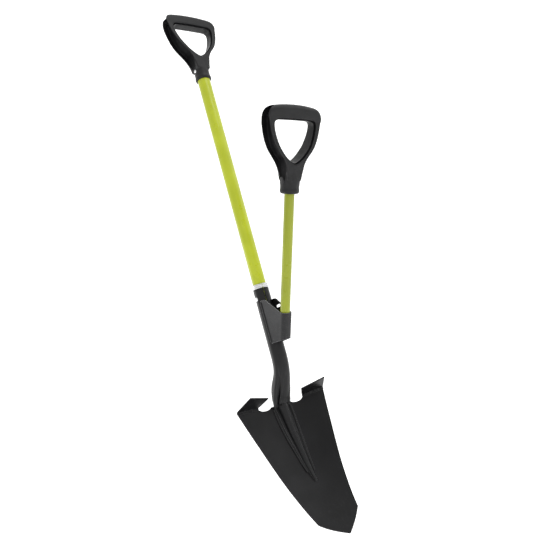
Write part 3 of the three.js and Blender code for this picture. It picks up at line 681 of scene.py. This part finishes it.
def neck_ring(back_y, back_z, front_y, front_z, wide, opened, groove):
    """A section of the neck: round where it is a tube, then grooved at the sides and wider at the back."""
    back = np.array([0, back_y, back_z])
    forward = np.array([0, front_y, front_z]) - back
    deep = np.linalg.norm(forward)
    forward = forward / deep
    keys = np.array([0, 8, 12.5, 24, 35.5, 40, 48])
    turn = np.radians(np.interp(np.arange(FRONT_POINTS), keys, [-90, -74, -56, 0, 56, 74, 90]))
    side = np.abs(np.sin(turn))
    back_wide = wide + (WING - wide) * opened
    dip = groove * np.exp(-(((np.abs(turn) - 1.15) / 0.19) ** 2))
    front_x = (wide + (back_wide - wide) * side**8) * np.sin(turn) * (1 - dip)
    front_f = deep / 2 * (1 + np.cos(turn) * (1 - dip * 0.4))
    turn = np.linspace(pi / 2, 3 * pi / 2, BACK_POINTS + 2)[1:-1]
    power = 2 / (2 + 3 * opened)
    back_x = back_wide * signed_power(np.sin(turn), power)
    back_f = deep / 2 * (1 + signed_power(np.cos(turn), power))
    across = np.concatenate([front_x, back_x])
    height = np.concatenate([front_f, back_f])
    return back + np.outer(across, X_AXIS) + np.outer(height, forward)


def tang_ring(u, high, crest, wide, lip):
    xs, heights = crest_profile(crest, high, wide, lip)
    front = [face_point(x, u, 0.3 + h) for x, h in zip(xs, heights)]
    back = [face_point(x, u, 0.3) for x in np.linspace(wide, -wide, BACK_POINTS + 2)[1:-1]]
    return np.array(front + back)


def make_socket():
    steps = np.concatenate([np.linspace(0, 3, 5), np.linspace(3, 13, 61)[1:]])
    rows = at_stations(NECK, steps)
    rings = [neck_ring(*row[:5], *np.clip(row[5:], 0, 1)) for row in rows]
    down = np.concatenate([np.linspace(12, 172, 54), np.linspace(172, TANG_END, 9)[1:]])
    rings += [tang_ring(u, *row) for u, row in zip(down, eased(TANG, down))]
    socket = new_object("socket_and_tang", loft(rings))
    inside, bottom, top = SOCKET_R - SOCKET_WALL, SOCKET_BORE_BOTTOM_Z, TUBE_OVERRUN_Z
    boolean(socket, turned([(0, bottom), (inside, bottom), (inside, top), (0, top)]))
    width = np.array([cos(SEAM_TURN), -sin(SEAM_TURN), 0])
    outward = np.array([-sin(SEAM_TURN), -cos(SEAM_TURN), 0])
    corners = [width * s * SEAM_HALF + outward * r for s, r in ((-1, 12), (1, 12), (1, 22), (-1, 22))]
    boolean(socket, loft([[c + [0, 0, z] for c in corners] for z in (SEAM_BOTTOM_Z, TUBE_OVERRUN_Z)]))
    boolean(socket, bar((-30, 0, SOCKET_RIVET_Z), (30, 0, SOCKET_RIVET_Z), RIVET_HOLE_R))
    finished(socket, SOCKET_PAINT, FRAME_BODY, ["socket"], sharp=38)


# ---------------------------------------------------------------- tubes, ferrule and rivets


def tube_shape(outer, wall, low, high):
    profile = [(outer - wall, low), (outer, low), (outer, high), (outer - wall, high)]
    return turned(rounded(profile, 0.4), 96)


def drilled(name, shape, centre):
    made = new_object(name, shape)
    across = X_AXIS * 30
    boolean(made, bar(np.array(centre) - across, np.array(centre) + across, RIVET_HOLE_R))
    return made


def spring_slot():
    """The slot in the second tube's lower end, where the spring's leg passes when the handle is folded."""
    left, right = SPRING_SLOT_ACROSS
    low, high = SPRING_SLOT_FOOT, SPRING_SLOT_TOP
    corners = [(left, low), (right, low), (right, high), (left, high)]
    return loft([[(x, y, k) for x, k in corners] for y in SPRING_SLOT_THROUGH])


def make_tubes():
    shape = tube_shape(SHAFT_R, SHAFT_WALL, SHAFT_BOTTOM_Z, GRIP_Z + SHAFT_IN_GRIP)
    shaft = drilled("shaft_tube", shape, (0, 0, GRIP_Z + GRIP_RIVET_S))
    boolean(shaft, bar((-30, 0, SOCKET_RIVET_Z), (30, 0, SOCKET_RIVET_Z), RIVET_HOLE_R))
    finished(shaft, SHAFT_LIME, FRAME_BODY, ["main_shaft"])
    shape = tube_shape(LEVER_R, LEVER_WALL, LEVER_TUBE_FROM, LEVER_GRIP_K + LEVER_IN_GRIP)
    centre = LEVER_START + LEVER_UP * (LEVER_GRIP_K + GRIP_RIVET_S)
    handle = drilled("second_tube", placed(shape, on_lever(0)), centre)
    boolean(handle, placed(spring_slot(), on_lever(0)))
    # The second tube takes the darker lime that paints shade.
    finished(handle, LEVER_LIME_PAINTED_SHADE, LEVER_BODY, ["lever_tube"])


def make_ferrule():
    r = FERRULE_R
    profile = [
        (SHAFT_R + 0.2, -FERRULE_HALF), (r - 0.7, -FERRULE_HALF), (r, -4.2), (r, -1.4), (r - 0.35, -0.9),
        (r - 0.35, -0.3), (r, 0.2), (r, 3.4), (r - 1.7, FERRULE_HALF), (SHAFT_R + 0.2, FERRULE_HALF),
    ]
    ferrule = new_object("ferrule_band", turned(rounded(profile, 0.4), 96))
    finished(ferrule, RING_ZINC, FRAME_BODY, ["ferrule"])


def rivet_shape(inner, seat, rise, head):
    """A domed rivet along +Z: shank from inner, head resting on seat."""
    dome = [(head * cos(a), seat + 0.5 + rise * sin(a)) for a in np.linspace(0, pi / 2, 9)]
    shank = [(0, inner), (RIVET_SHANK_R, inner), (RIVET_SHANK_R, seat), (head - 0.3, seat)]
    return turned(shank + dome, 40)


def along_x(side):
    return [[0, 0, side], [0, 1, 0], [-side, 0, 0]]


def make_rivets():
    for side, name in ((-1, "left"), (1, "right")):
        shape = rivet_shape(SOCKET_RIVET_INNER, SOCKET_R + 0.1, 2.1, 4.7)
        shape = placed(shape, (along_x(side), [0, 0, SOCKET_RIVET_Z]))
        rivet = new_object("socket_rivet_head_" + name, shape)
        finished(rivet, RIVET_ZINC, FRAME_BODY, ["socket_rivet_" + name])
    for name, body, side, seat, where in (
        ("main_grip_rivet", FRAME_BODY, -1, MAIN_RIVET_SEAT, on_shaft(GRIP_Z + GRIP_RIVET_S)),
        ("lever_grip_rivet", LEVER_BODY, 1, LEVER_RIVET_SEAT, on_lever(LEVER_GRIP_K + GRIP_RIVET_S)),
    ):
        shape = placed(placed(rivet_shape(4, seat, 1.7, 4), (along_x(side), [0, 0, 0])), where)
        finished(new_object(name + "_head", shape), RIVET_ZINC, body, [name])


# ---------------------------------------------------------------- grips

# Outline of half a grip: outer x, height; inner x, height; half-depth; outer and inner corner radii.
GRIP_OUTLINE = [
    (0, 22, 0, 60, 17, 3, 3), (15.4, 26, 4, 61.2, 17, 3, 3), (17.4, 33, 8, 63.2, 17, 2, 3),
    (19.2, 41, 12, 66, 17, 1.6, 3), (22.5, 50, 16, 69, 17, 1.2, 3), (28.6, 61, 20.5, 73, 17, 1, 3),
    (36.6, 71.5, 25, 77.5, 17, 1, 3), (44.8, 82, 30.5, 84, 17, 1, 3), (51.8, 93, 36.5, 92, 16.4, 1, 3),
    (57.6, 105, 41.8, 103.5, 15.2, 1, 3), (61.6, 116, 45.6, 115, 14, 1, 3),
    (64.4, 127, 48, 126, 13.2, 1, 3), (65.8, 138, 48.4, 133, 12.8, 1, 3),
    (64.8, 150, 46.5, 138, 12.8, 1.6, 4), (61, 160, 41, 140.8, 13, 5, 5), (53, 166.2, 32, 141.4, 13, 9, 5),
    (38, 169.2, 22, 141.6, 13.2, 11, 5), (20, 170.8, 11, 141.7, 13.2, 11, 5),
    (0, 171.4, 0, 141.8, 13.2, 11, 5),
]
# Necks: height, half-width, half-depth and how square the section is.
MAIN_NECK = [
    (0, 16.9, 16.9, 2), (0.7, 17.6, 17.6, 2), (12, 17.8, 17.6, 2), (24, 17.4, 17.6, 2.1),
    (33, 17.6, 17.4, 2.1), (42, 18.6, 17.2, 2.2), (50, 20.5, 17, 2.5), (58, 23, 16.8, 3),
]
LEVER_NECK = [
    (0, 17.6, 17.2, 2), (0.7, 18.3, 17.9, 2), (12, 19.6, 18, 2.1), (24, 21, 17.8, 2.2), (33, 22, 17.6, 2.3),
    (42, 23, 17.2, 2.5), (50, 24.4, 17, 2.7), (58, 26.5, 16.8, 3),
]
NECK_TOP_S = 58
GRIP_VOXEL = 0.00125
CROSSBAR_S = 157
CROSSBAR_BORE_DEEP = 10.2
CROSSBAR_BORE_HIGH = 11.6
CHANNEL_FLOOR = 3.2
FRONT_INSET = 4
RABBET_BACK = 4.5
RABBET_OUT = 2.8
FLANGE = 2.7
STATIONS = np.linspace(0, 18, 91)


def both_sides(rows):
    """Stations down the right half of the grip and back up the left half."""
    mirrored = [[-row[0], row[1], -row[2], *row[3:]] for row in rows[-2:0:-1].tolist()]
    return rows.tolist() + mirrored


def grip_ring(outer_x, outer_z, inner_x, inner_z, deep, outer_round, inner_round):
    """Rounded section between the inner and the outer outline of the D."""
    inner = np.array([inner_x, 0, inner_z])
    across = np.array([outer_x, 0, outer_z]) - inner
    wide = np.linalg.norm(across)
    across = across / wide
    outer_round = min(outer_round, wide * 0.45, deep * 0.9)
    inner_round = min(inner_round, wide * 0.45, deep * 0.9)
    ring = []
    for p, t, radius, start in (
        (wide, -deep, outer_round, 0), (0, -deep, inner_round, 1),
        (0, deep, inner_round, 2), (wide, deep, outer_round, 3),
    ):
        centre = (p + (radius if p == 0 else -radius), t + (radius if t < 0 else -radius))
        for a in np.linspace(0, pi / 2, 9):
            turn = -start * pi / 2 - a
            ring.append((centre[0] + radius * cos(turn), centre[1] + radius * sin(turn)))
    return np.array([inner + across * p + np.array([0, t, 0]) for p, t in ring])


def channel_rings():
    """The open channel up the outside of one arm, from a point beside the rivet to the crossbar."""
    stations = np.linspace(1.3, 13.6, 66)
    rows = at_stations(GRIP_OUTLINE, stations)
    rings = []
    for n, (outer_x, outer_z, inner_x, inner_z, deep, *_) in enumerate(rows):
        inner = np.array([inner_x, 0, inner_z])
        across = unit(np.array([outer_x, 0, outer_z]) - inner)
        wide = np.linalg.norm(np.array([outer_x, 0, outer_z]) - inner)
        opened = min(1, n / 16)
        floor = max(CHANNEL_FLOOR, wide - 0.6 - 14 * opened)
        half = (deep - FLANGE) * (0.3 + 0.7 * opened**0.6)
        corner = min(2, half * 0.6)
        trim = np.clip(min((stations[n] - 2.6) / 1.6, (13.2 - stations[n]) / 1.2), 0, 1)
        front = wide + 0.6 - (FRONT_INSET + 0.6) * trim
        ahead = -half - 6 * trim - 0.01
        section = [(wide + 9, ahead), (front, ahead), (front - 0.5, -half)]
        section += [(floor + corner, -half), (floor, -half + corner), (floor, half - corner)]
        section += [(floor + corner, half), (wide + 9, half)]
        rings.append([inner + across * p + np.array([0, t, 0]) for p, t in section])
    return rings


def rabbet_rings():
    """The step cut in the front edge, all round the D's opening."""
    rows = at_stations(GRIP_OUTLINE, STATIONS)
    rings = []
    for outer_x, outer_z, inner_x, inner_z, deep, *_ in both_sides(rows):
        inner = np.array([inner_x, 0, inner_z])
        across = unit(np.array([outer_x, 0, outer_z]) - inner)
        near, far = -deep - 3, -deep + RABBET_BACK
        section = [(-6, near), (RABBET_OUT, near), (RABBET_OUT, far), (-6, far)]
        rings.append([inner + across * p + np.array([0, t, 0]) for p, t in section])
    return rings


def grip_object(name, neck):
    """One grip about its own neck: joined solids smoothed into one moulding, then its hollows cut, their
    new faces in the plastic copy that paints shade.
    """
    rows = at_stations(GRIP_OUTLINE, STATIONS)
    grip = new_object(name, loft([grip_ring(*row) for row in both_sides(rows)], loop=True))
    turn = np.linspace(0, 2 * pi, 56, endpoint=False)
    rings = []
    heights = np.linspace(0, NECK_TOP_S, 50)
    for s, (wide, deep, power) in zip(heights, eased(neck, heights)):
        x = wide * signed_power(np.cos(turn), 2 / power)
        y = deep * signed_power(np.sin(turn), 2 / power)
        rings.append(np.stack([x, y, np.full_like(x, s)], 1))
    boolean(grip, loft(rings), "UNION")
    remesh = grip.modifiers.new("remesh", "REMESH")
    remesh.mode = "VOXEL"
    remesh.voxel_size = GRIP_VOXEL
    smooth = grip.modifiers.new("smooth", "SMOOTH")
    smooth.factor = 0.5
    smooth.iterations = 10
    apply_modifiers(grip)
    grip.data.materials.clear()
    grip.data.materials.append(GRIP_PLASTIC)
    boolean(grip, loft(rabbet_rings(), loop=True), material=PAINTED_SHADE_PLASTIC)
    for side in (-1, 1):
        channel = [[p * [side, 1, 1] for p in ring] for ring in channel_rings()]
        boolean(grip, loft(channel), material=PAINTED_SHADE_PLASTIC)
    return grip


def crossbar_bore():
    """The moulding's bore through the crossbar, oval and open at both ends."""
    turn = np.linspace(0, 2 * pi, 48, endpoint=False)
    deep = CROSSBAR_BORE_DEEP * np.cos(turn)
    high = CROSSBAR_S + CROSSBAR_BORE_HIGH * np.sin(turn)
    oval = np.stack([np.zeros(48), deep, high], 1)
    return loft([oval + X_AXIS * x for x in (-90, 90)])


def move_mesh(made, where):
    turn, offset = where
    points = np.empty(len(made.data.vertices) * 3)
    made.data.vertices.foreach_get("co", points)
    points = (points.reshape(-1, 3) - np.array(ORIGIN)) @ np.array(turn).T
    points += np.array(offset) / 1000 + np.array(ORIGIN)
    made.data.vertices.foreach_set("co", points.ravel())


def make_grips():
    bore = SHAFT_R + 0.2
    main_place, lever_place = on_shaft(GRIP_Z), on_lever(LEVER_GRIP_K)
    for name, node, neck, rivet_side, seat, body, where in (
        ("main_d_grip", "main_grip", MAIN_NECK, -1, MAIN_RIVET_SEAT, FRAME_BODY, main_place),
        ("second_d_grip", "lever_grip", LEVER_NECK, 1, LEVER_RIVET_SEAT, LEVER_BODY, lever_place),
    ):
        grip = grip_object(name, neck)
        # The bore's faces also take the plastic copy that paints shade.
        boolean(grip, crossbar_bore(), material=PAINTED_SHADE_PLASTIC)
        boolean(grip, turned([(0, -3), (bore, -3), (bore, GRIP_BORE_DEPTH), (0, GRIP_BORE_DEPTH)]))
        beyond = (rivet_side * 40, 0, GRIP_RIVET_S)
        boolean(grip, bar((0, 0, GRIP_RIVET_S), beyond, RIVET_HOLE_R))
        boolean(grip, bar((rivet_side * seat, 0, GRIP_RIVET_S), beyond, RIVET_RECESS_R))
        move_mesh(grip, where)
        finished(grip, GRIP_PLASTIC, body, [node])


# ---------------------------------------------------------------- bracket and welds


def strap_line(z):
    """Middle line of the strap at height z: from the socket round the second tube and back."""
    y = LEVER_START[1] + LEVER_UP[1] * (z - LEVER_START[2]) / LEVER_UP[2]
    r = STRAP_R + STRAP_T / 2
    deep = r / cos(LEVER_TILT)
    foot = STRAP_FOOT_X - STRAP_T / 2
    turn = np.linspace(0, pi, 49)
    xs = -r * signed_power(np.cos(turn), 2 / STRAP_SQUARE)
    ys = y - deep * signed_power(np.sin(turn), 2 / STRAP_SQUARE)
    shares = np.linspace(0, 1, 9)[:-1]
    plate = [(foot + (r - foot) * t, STRAP_FOOT_Y + (y - STRAP_FOOT_Y) * t) for t in shares]
    left = [(-px, py, z) for px, py in plate]
    right = [(px, py, z) for px, py in reversed(plate)]
    return [np.array(p) for p in left + [(px, py, z) for px, py in zip(xs, ys)] + right]


def side_prism(outline, half):
    """A prism across the width from (y, z) points."""
    return loft([[(x, y, z) for y, z in outline] for x in (-half, half)])


def make_bracket():
    grid = [strap_line(z) for z in np.linspace(STRAP_BOTTOM_Z, STRAP_TOP_Z, 40)]
    bracket = new_object("strap_bracket", sheet(grid, STRAP_T))
    top = LEVER_START + LEVER_UP * STRAP_TOP_K
    ahead = top + np.array([0, -cos(LEVER_TILT), -sin(LEVER_TILT)]) * 60
    crown = STRAP_TOP_Z + 0.2
    hump = [(-31.5, -41.5), (-29, -38), (-25.5, -35.6), (-21, -34.2), (-15, crown), (20, crown)]
    above = [(ahead[1], ahead[2]), (top[1] + 1.2, top[2] + 0.6)] + hump + [(20, 40), (ahead[1], 40)]
    boolean(bracket, side_prism(above, 30))
    turn = np.linspace(0, pi, 15)
    r, z = SIGHT_SLOT_R, SIGHT_SLOT_Z
    slot = [(SIGHT_SLOT_FRONT_Y - r * sin(a), z - r * cos(a)) for a in turn]
    slot += [(SIGHT_SLOT_BACK_Y + r * sin(a), z + r * cos(a)) for a in turn]
    boolean(bracket, loft([[(x, y, z) for y, z in slot] for x in (8, 20)]))
    bevel(bracket, 0.6, 3, 50)
    finished(bracket, BRACKET_PAINT, FRAME_BODY, ["bracket"], sharp=40)


def weld_bead(name, route, radius):
    """A run of weld laid through points, rippled like a row of coins."""
    route = np.array(route, float)
    lengths = np.concatenate([[0], np.cumsum(np.linalg.norm(np.diff(route, axis=0), axis=1))])
    steps = np.arange(0, lengths[-1], 0.55)
    path = np.stack([eased(list(zip(lengths, route[:, axis])), steps)[:, 0] for axis in range(3)], 1)
    turn = np.linspace(0, 2 * pi, 16, endpoint=False)
    rings = []
    for i, centre in enumerate(path):
        along = unit(path[min(i + 1, len(path) - 1)] - path[max(i - 1, 0)])
        side = unit(np.cross(along, [0, 1, 0]))
        out = np.cross(side, along)
        end = min(1, (i + 0.6) / 3, (len(path) - i - 0.4) / 3)
        swell = radius * (0.94 + 0.1 * sin(steps[i] * 2 * pi / 3.1)) * end**0.5
        rings.append([centre + swell * (cos(a) * side + sin(a) * out) for a in turn])
    return new_object(name, loft(rings))


def make_welds():
    radius = TANG_BEAD_R
    for side, name in ((-1, "left"), (1, "right")):
        seam = [(side * 15.9, -9.0, z) for z in (-127, -97, -68, -36)]
        bead = weld_bead("bracket_bead_" + name, seam, BRACKET_BEAD_R)
        finished(bead, WELD_PAINT, FRAME_BODY, ["bracket_weld_" + name], sharp=60)
        route = [face_point(side * (row[3] + radius), row[0], radius - 0.2) for row in TANG[:8]]
        bead = weld_bead("tang_bead_" + name, route, radius)
        finished(bead, WELD_PAINT, FRAME_BODY, ["tang_weld_" + name], sharp=60)


def make_pin():
    """The hinge pin, its ends just under the strap's painted surface."""
    pivot = LEVER_START + LEVER_UP * PIVOT_K
    half = STRAP_R + STRAP_T - PIN_COVER
    pin = new_object("hinge_pin", bar(pivot - X_AXIS * half, pivot + X_AXIS * half, PIN_R))
    bevel(pin, 0.3)
    finished(pin, INNER_STEEL, FRAME_BODY, ["pivot_pin"])


def dress_inner_parts():
    """Materials of the design's own solids, which are right as they are."""
    for node, material in (
        ("pivot_sleeve", RIVET_ZINC), ("torsion_spring", INNER_STEEL),
        ("lever_foot", INNER_STEEL), ("lever_grip_adapter", GRIP_PLASTIC),
    ):
        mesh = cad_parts[node].data
        mesh.materials.clear()
        mesh.materials.append(material)


# ---------------------------------------------------------------- studio


def make_studio():
    """A pale floor that curves up into a backdrop, an even dome light and three soft lamps."""
    floor_z = -1.42
    depth, rise, bend = 3.4, 6.5, 1.6
    profile = [(-5.0, floor_z)]
    for a in np.linspace(0, pi / 2, 25):
        profile.append((depth - bend + bend * sin(a), floor_z + bend * (1 - cos(a))))
    profile.append((depth, floor_z + rise))
    toward = np.array([0.60, 0.80])
    side = np.array([0.80, -0.60])
    points = [(*(toward * d + side * w), z) for d, z in profile for w in (-6.0, 6.0)]
    faces = [(2 * i, 2 * i + 1, 2 * i + 3, 2 * i + 2) for i in range(len(profile) - 1)]
    mesh = bpy.data.meshes.new("backdrop")
    mesh.from_pydata(points, [], faces)
    mesh.shade_smooth()
    look = Look("backdrop_paper")
    paper = look.mix(look.ranged(look.noise(3, 2), 0.3, 0.7, 0, 1), (0.93, 0.93, 0.93), (0.95, 0.95, 0.95))
    look.shader.inputs["Emission Color"].default_value = (1, 1, 1, 1)
    look.shader.inputs["Emission Strength"].default_value = 0.4
    mesh.materials.append(look.done(paper, look.ranged(look.noise(5, 2), 0.3, 0.7, 0.85, 0.95)))
    backdrop = bpy.data.objects.new("backdrop", mesh)
    bpy.context.scene.collection.objects.link(backdrop)

    world = bpy.data.worlds.new("studio")
    world.use_nodes = True
    world.node_tree.nodes["Background"].inputs["Color"].default_value = (1, 1, 1, 1)
    world.node_tree.nodes["Background"].inputs["Strength"].default_value = 1.0
    bpy.context.scene.world = world
    bpy.context.scene.view_settings.view_transform = "Standard"

    soft_light("key", (0.5, -2.2, 1.9), (0, 0, -0.6), 1.6, 18)
    soft_light("fill", (1.9, -1.5, 0.4), (0, 0, -0.6), 1.4, 6)
    soft_light("back", (-1.5, 2.0, -0.4), (0, 0, -0.9), 1.5, 9)


def soft_light(name, place, aim, size, power):
    light = bpy.data.lights.new(name, "AREA")
    light.shape = "DISK"
    light.size = size
    light.energy = power
    lamp = bpy.data.objects.new(name, light)
    lamp.location = place
    lamp.rotation_euler = (Vector(aim) - Vector(place)).to_track_quat("-Z", "Y").to_euler()
    bpy.context.scene.collection.objects.link(lamp)


def make_camera():
    """The camera's place: low, in front and to the left."""
    data = bpy.data.cameras.new("camera")
    data.sensor_width = 36
    data.lens = CAMERA_LENS
    data.clip_start = 0.05
    camera = bpy.data.objects.new("camera", data)
    turn = Euler([radians(a) for a in CAMERA_TURN]).to_matrix().to_4x4()
    camera.matrix_world = Matrix.Translation(CAMERA_PLACE) @ turn
    bpy.context.scene.collection.objects.link(camera)
    bpy.context.scene.camera = camera


make_blade()
make_socket()
make_tubes()
make_ferrule()
make_rivets()
make_grips()
make_bracket()
make_welds()
make_pin()
dress_inner_parts()
make_studio()
make_camera()
